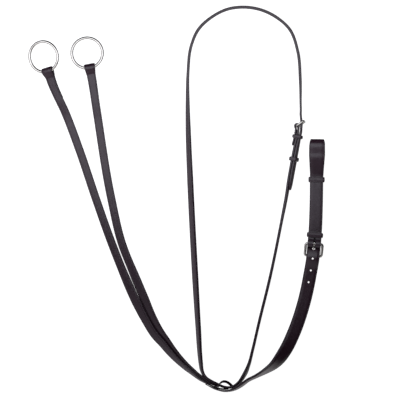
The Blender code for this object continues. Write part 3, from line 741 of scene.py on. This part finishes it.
def fork_group():
    """Both fork straps, each folded and stitched round its ring."""
    for label, route in (("left", LEFT_FORK_ROUTE), ("right", RIGHT_FORK_ROUTE)):
        guide = Guide(route + FORK_TAILS[label], NARROW_WIDTH, NARROW_THICK)
        w, t = NARROW_WIDTH, NARROW_THICK
        spacing = 2 * RING_EYE + RING_END_THICK
        thin = RING_END_THICK
        layer = 0.5 * (t + thin) + LAYER_GAP
        last = guide.length
        end = guide.nearest(*route[-1][:2])
        beside = guide.nearest(-62.0, -140.0)
        stations = [(RING_RETURN, 0.0, w, thin), (10.0, 0.0, 13.6, thin),
                    (0.0, 0.0, RING_END_WIDTH, thin)]
        stations += fold(0.0, 0.0, spacing, -1, RING_END_WIDTH, thin)
        stations += [(0.0, spacing, RING_END_WIDTH, thin), (11.0, layer + 0.2, 13.6, t),
                     (30.0, layer, w, t), (45.0, layer, w, t), (86.0, 0.0, w, t),
                     (beside - 45.0, 0.0, w, t), (beside - 15.0, 0.0, w + FORK_SPREAD, t),
                     (beside + 15.0, 0.0, w + FORK_SPREAD, t), (beside + 45.0, 0.0, w, t),
                     (end - 40.0, 0.0, w, t)]
        if label == "left":
            stations += [(end - 14.0, 0.0, w, SKIVED_THICK), (end, -0.25, w, 2.1),
                         (last - 5.0, -0.2, w, 2.1), (last, 0.0, w - 2.0, 1.2)]
        else:
            stations += [(end - 30.0, -0.8, w, 3.4), (end - 20.0, -0.4, w, 2.6),
                         (end - 10.0, -0.42, w, 2.3), (end - 2.0, -0.38, w, 1.9),
                         (end, -0.35, w - 1.0, 1.2)]
        band = Band(guide, stations)
        leather(loft("fork_strap_%s_leather" % label, band.rings()), "fork_strap_" + label,
                "chest")
        fold_end = RING_RETURN + math.pi * 0.5 * spacing
        thread(stitches("fork_stitching_" + label,
                        [(band, 2.0, 34.0, FORK_INSET, 1),
                         (band, fold_end + 12.0, fold_end + 44.0, FORK_INSET, 1)]), "chest")
        point, travel, side, face = guide.frame(0.0)
        eye = point + BASE_POINT + face * 0.5 * spacing
        droop = math.asin((eye.z - RING_WIRE) / (2 * RING_RADIUS)) if label == "right" else 0.0
        toward = (travel * -math.cos(droop) - face * math.sin(droop)).normalized()
        centre = eye + toward * (RING_RADIUS - RING_SAG)
        steps = 144
        points = []
        radii = []
        for k in range(steps):
            angle = math.tau * k / steps
            points.append(centre + toward * (-RING_RADIUS * math.cos(angle))
                          + side * (RING_RADIUS * math.sin(angle)))
            from_weld = min(k, steps - k)
            weld = math.exp(-from_weld ** 2 / 8.0)
            radii.append(RING_WIRE + 0.12 * weld)
        ring = loft("ring_%s_wire" % label,
                    tube(points, radii, 24, closed=True, up=side.cross(toward)), closed=True)
        metal(ring, "ring_" + label, "ring_" + label)


def junction_group():
    """Small leather loop that the neck strap is threaded through."""
    points = np.array(JUNCTION_ROUTE)
    marks = np.linspace(0, len(points) - 1, 61)
    dense = np.array([[np.interp(v, range(len(points)), points[:, k]) for k in range(4)]
                      for v in marks])
    for k in range(4):
        dense[:, k] = smooth(dense[:, k], 3)
    rings = []
    for i in range(len(dense)):
        before, after = dense[max(i - 1, 0)], dense[min(i + 1, len(dense) - 1)]
        run = Vector(after[:3] - before[:3]).normalized()
        flat = Vector((run.x, run.y, 0.0)).normalized()
        left = Vector((-flat.y, flat.x, 0.0))
        roll = math.radians(dense[i, 3])
        side = left * math.cos(roll) + Vector((0.0, 0.0, 1.0)) * math.sin(roll)
        side = (side - run * side.dot(run)).normalized()
        normal = run.cross(side)
        centre = Vector(dense[i, :3]) + BASE_POINT
        rings.append([(centre + side * x + normal * y, wear, flesh)
                      for x, y, wear, flesh in profile(LOOP_WIDTH, LOOP_THICK, 0.3)])
    leather(loft("junction_loop_leather", rings), "junction_loop", "chest")


# ---- materials ----
LEATHER_DARK = (0.0165, 0.0048, 0.0112)
LEATHER_PALE = (0.0245, 0.0100, 0.0180)
RUBBED_EDGE = (0.034, 0.028, 0.032)
FLESH_SIDE = (0.022, 0.015, 0.019)
NICKEL_BRIGHT = (0.60, 0.572, 0.535)
NICKEL_DULL = (0.46, 0.44, 0.405)
THREAD_DARK = (0.013, 0.010, 0.013)
THREAD_PALE = (0.036, 0.031, 0.036)
FLOOR_DARK = (0.40, 0.40, 0.40)
FLOOR_PALE = (0.43, 0.43, 0.43)
FLOOR_GLOW = 0.97       # light that the floor gives off itself


def new_material(name):
    material = bpy.data.materials.new(name)
    material.use_nodes = True
    nodes = material.node_tree.nodes
    return material, nodes, material.node_tree.links, nodes["Principled BSDF"]


def noise(nodes, links, coords, scale, detail, roughness=0.5):
    node = nodes.new("ShaderNodeTexNoise")
    node.inputs["Scale"].default_value = scale
    node.inputs["Detail"].default_value = detail
    node.inputs["Roughness"].default_value = roughness
    links.new(coords, node.inputs["Vector"])
    return node.outputs["Fac"]


def math_node(nodes, links, operation, a, b):
    node = nodes.new("ShaderNodeMath")
    node.operation = operation
    for index, value in enumerate((a, b)):
        if isinstance(value, (int, float)):
            node.inputs[index].default_value = value
        else:
            links.new(value, node.inputs[index])
    return node.outputs[0]


def mix_colour(nodes, links, factor, first, second):
    node = nodes.new("ShaderNodeMix")
    node.data_type = "RGBA"
    links.new(factor, node.inputs["Factor"])
    for socket, value in ((node.inputs[6], first), (node.inputs[7], second)):
        if isinstance(value, tuple):
            socket.default_value = (*value, 1.0)
        else:
            links.new(value, socket)
    return node.outputs[2]


def spread(nodes, links, value, low, high, start=0.0, end=1.0):
    node = nodes.new("ShaderNodeMapRange")
    node.inputs["From Min"].default_value = start
    node.inputs["From Max"].default_value = end
    node.inputs["To Min"].default_value = low
    node.inputs["To Max"].default_value = high
    links.new(value, node.inputs["Value"])
    return node.outputs["Result"]


def bump(nodes, links, height, strength, distance, normal=None):
    node = nodes.new("ShaderNodeBump")
    node.inputs["Strength"].default_value = strength
    node.inputs["Distance"].default_value = distance
    links.new(height, node.inputs["Height"])
    if normal is not None:
        links.new(normal, node.inputs["Normal"])
    return node.outputs["Normal"]


def leather_material():
    material, nodes, links, shader = new_material("black_bridle_leather")
    coords = nodes.new("ShaderNodeTexCoord").outputs["Object"]
    wear = nodes.new("ShaderNodeAttribute")
    wear.attribute_name = "wear"
    flesh = nodes.new("ShaderNodeAttribute")
    flesh.attribute_name = "flesh"
    cloud = noise(nodes, links, coords, 28.0, 3.0)
    mottle = noise(nodes, links, coords, 210.0, 4.0)
    base = mix_colour(nodes, links, spread(nodes, links, cloud, 0.0, 1.0, 0.3, 0.7),
                      LEATHER_DARK, LEATHER_PALE)
    rubbed = math_node(nodes, links, "MULTIPLY", wear.outputs["Fac"],
                       spread(nodes, links, mottle, 0.0, 0.8, 0.38, 0.62))
    base = mix_colour(nodes, links, rubbed, base, RUBBED_EDGE)
    base = mix_colour(nodes, links, math_node(nodes, links, "MULTIPLY", flesh.outputs["Fac"], 0.5),
                      base, FLESH_SIDE)
    links.new(base, shader.inputs["Base Color"])
    rough = spread(nodes, links, mottle, 0.29, 0.4, 0.3, 0.7)
    rough = math_node(nodes, links, "SUBTRACT", rough,
                      math_node(nodes, links, "MULTIPLY", wear.outputs["Fac"], 0.07))
    rough = math_node(nodes, links, "ADD", rough,
                      math_node(nodes, links, "MULTIPLY", flesh.outputs["Fac"], 0.06))
    links.new(rough, shader.inputs["Roughness"])
    cells = nodes.new("ShaderNodeTexVoronoi")
    cells.feature = "DISTANCE_TO_EDGE"
    cells.inputs["Scale"].default_value = 1500.0
    links.new(coords, cells.inputs["Vector"])
    grain = spread(nodes, links, cells.outputs["Distance"], 0.0, 1.0, 0.0, 0.28)
    pores = noise(nodes, links, coords, 2600.0, 2.0)
    creases = noise(nodes, links, coords, 420.0, 5.0, 0.65)
    height = math_node(nodes, links, "ADD", math_node(nodes, links, "MULTIPLY", grain, 0.55),
                       math_node(nodes, links, "MULTIPLY", pores, 0.35))
    first = bump(nodes, links, creases, 0.35, 0.00035)
    links.new(bump(nodes, links, height, 0.4, 0.00008, first), shader.inputs["Normal"])
    shader.inputs["Specular IOR Level"].default_value = 0.45
    shader.inputs["Coat Weight"].default_value = 0.06
    shader.inputs["Coat Roughness"].default_value = 0.3
    return material


def nickel_material():
    material, nodes, links, shader = new_material("nickel_plate")
    coords = nodes.new("ShaderNodeTexCoord").outputs["Object"]
    haze = noise(nodes, links, coords, 160.0, 4.0)
    scratch = noise(nodes, links, coords, 2200.0, 3.0, 0.7)
    base = mix_colour(nodes, links, spread(nodes, links, haze, 0.0, 1.0, 0.35, 0.7),
                      NICKEL_BRIGHT, NICKEL_DULL)
    links.new(base, shader.inputs["Base Color"])
    links.new(spread(nodes, links, haze, 0.09, 0.2, 0.3, 0.7), shader.inputs["Roughness"])
    shader.inputs["Metallic"].default_value = 1.0
    links.new(bump(nodes, links, scratch, 0.12, 0.00002), shader.inputs["Normal"])
    return material


def thread_material():
    material, nodes, links, shader = new_material("waxed_thread")
    coords = nodes.new("ShaderNodeTexCoord").outputs["Object"]
    ply = nodes.new("ShaderNodeTexWave")
    ply.inputs["Scale"].default_value = 900.0
    ply.inputs["Distortion"].default_value = 1.5
    links.new(coords, ply.inputs["Vector"])
    base = mix_colour(nodes, links, ply.outputs["Fac"], THREAD_DARK, THREAD_PALE)
    links.new(base, shader.inputs["Base Color"])
    links.new(spread(nodes, links, ply.outputs["Fac"], 0.62, 0.45), shader.inputs["Roughness"])
    links.new(bump(nodes, links, ply.outputs["Fac"], 0.5, 0.00006), shader.inputs["Normal"])
    return material


def floor_material():
    material, nodes, links, shader = new_material("pale_floor")
    coords = nodes.new("ShaderNodeTexCoord").outputs["Object"]
    tone = noise(nodes, links, coords, 6.0, 2.0)
    base = mix_colour(nodes, links, tone, FLOOR_DARK, FLOOR_PALE)
    links.new(base, shader.inputs["Base Color"])
    shader.inputs["Roughness"].default_value = 0.9
    shader.inputs["Specular IOR Level"].default_value = 0.0
    shader.inputs["Emission Color"].default_value = (1.0, 1.0, 1.0, 1.0)
    shader.inputs["Emission Strength"].default_value = FLOOR_GLOW
    return material


# ---- stage ----
PHOTO_CENTRE = Vector((34.5, -1.5, 0.0))    # middle of the picture on the layout
PHOTO_FIELD = 600.0                         # width of the picture on the floor
CAMERA_HEIGHT = 8000.0
SKY_AIM = (0.82, 0.57, 0.0)                 # the world darkens in this direction
SKY_LEVELS = ((0.0, 0.80), (0.25, 0.42), (0.5, 0.05), (0.62, 0.02), (1.0, 0.01))
SKY_TINT = (0.97, 0.97, 1.04)
BOUNCE_AIM = (0.42, -0.80, -0.42)           # pale light that comes up from the lower right
BOUNCE_EDGE = (0.60, 0.95)                  # cosines at its rim and at its full part
BOUNCE = 1.0
PANEL_LOW = (-0.70, -0.015)                 # corners of the panel light, in metres
PANEL_HIGH = (0.34, 0.44)
PANEL_HEIGHT = 0.42
PANEL_POWER = 6.9                           # per square metre
PANEL_COLOUR = (0.89, 0.92, 1.0)


def build_floor():
    """Pale floor that gives off light and is not mirrored in the glossy pieces."""
    bpy.ops.mesh.primitive_plane_add(size=6.0, location=(0.035, 0.0, -0.0004))
    floor = bpy.context.object
    floor.name = "floor"
    floor.data.materials.append(floor_material())
    floor.visible_glossy = False


def build_world():
    """World that is bright on one side, with a soft lobe of bounced light."""
    world = bpy.data.worlds.new("studio")
    bpy.context.scene.world = world
    world.use_nodes = True
    nodes = world.node_tree.nodes
    links = world.node_tree.links
    direction = nodes.new("ShaderNodeTexCoord").outputs["Generated"]
    aim = nodes.new("ShaderNodeVectorMath")
    aim.operation = "DOT_PRODUCT"
    aim.inputs[1].default_value = SKY_AIM
    links.new(direction, aim.inputs[0])
    ramp = nodes.new("ShaderNodeValToRGB")
    links.new(spread(nodes, links, aim.outputs["Value"], 0.0, 1.0, -1.0, 1.0), ramp.inputs["Fac"])
    elements = ramp.color_ramp.elements
    for index, (position, level) in enumerate(SKY_LEVELS):
        element = elements[index] if index < 2 else elements.new(position)
        element.position = position
        element.color = (*(level * tint for tint in SKY_TINT), 1.0)
    low = nodes.new("ShaderNodeVectorMath")
    low.operation = "DOT_PRODUCT"
    low.inputs[1].default_value = Vector(BOUNCE_AIM).normalized()
    links.new(direction, low.inputs[0])
    glow = spread(nodes, links, low.outputs["Value"], 0.0, BOUNCE, *BOUNCE_EDGE)
    total = nodes.new("ShaderNodeVectorMath")
    total.operation = "ADD"
    links.new(ramp.outputs["Color"], total.inputs[0])
    links.new(glow, total.inputs[1])
    background = nodes["Background"]
    links.new(total.outputs["Vector"], background.inputs["Color"])
    background.inputs["Strength"].default_value = 1.0


def build_camera():
    """Camera straight above, as in the photograph."""
    scene = bpy.context.scene
    scene.view_settings.view_transform = "Standard"
    camera = bpy.data.cameras.new("camera")
    camera.sensor_width = 36.0
    camera.lens = 36.0 * CAMERA_HEIGHT / PHOTO_FIELD
    camera.clip_end = 100.0
    holder = bpy.data.objects.new("camera", camera)
    scene.collection.objects.link(holder)
    spot = (PHOTO_CENTRE + BASE_POINT) * MM
    holder.location = (spot.x, spot.y, CAMERA_HEIGHT * MM)
    scene.camera = holder


def softbox(name, low, high, height, energy):
    """Flat panel light that faces the floor; low and high are its corners."""
    light = bpy.data.lights.new(name, "AREA")
    light.shape = "RECTANGLE"
    light.size = high[0] - low[0]
    light.size_y = high[1] - low[1]
    light.energy = energy * light.size * light.size_y
    light.color = PANEL_COLOUR
    holder = bpy.data.objects.new(name, light)
    holder.location = (0.5 * (low[0] + high[0]), 0.5 * (low[1] + high[1]), height)
    holder.visible_camera = False
    bpy.context.scene.collection.objects.link(holder)


LEATHER = leather_material()
NICKEL = nickel_material()
THREAD = thread_material()


build_floor()
build_world()
build_camera()
softbox("key", PANEL_LOW, PANEL_HIGH, PANEL_HEIGHT, PANEL_POWER)
neck_group()
chest_group()
fork_group()
junction_group()
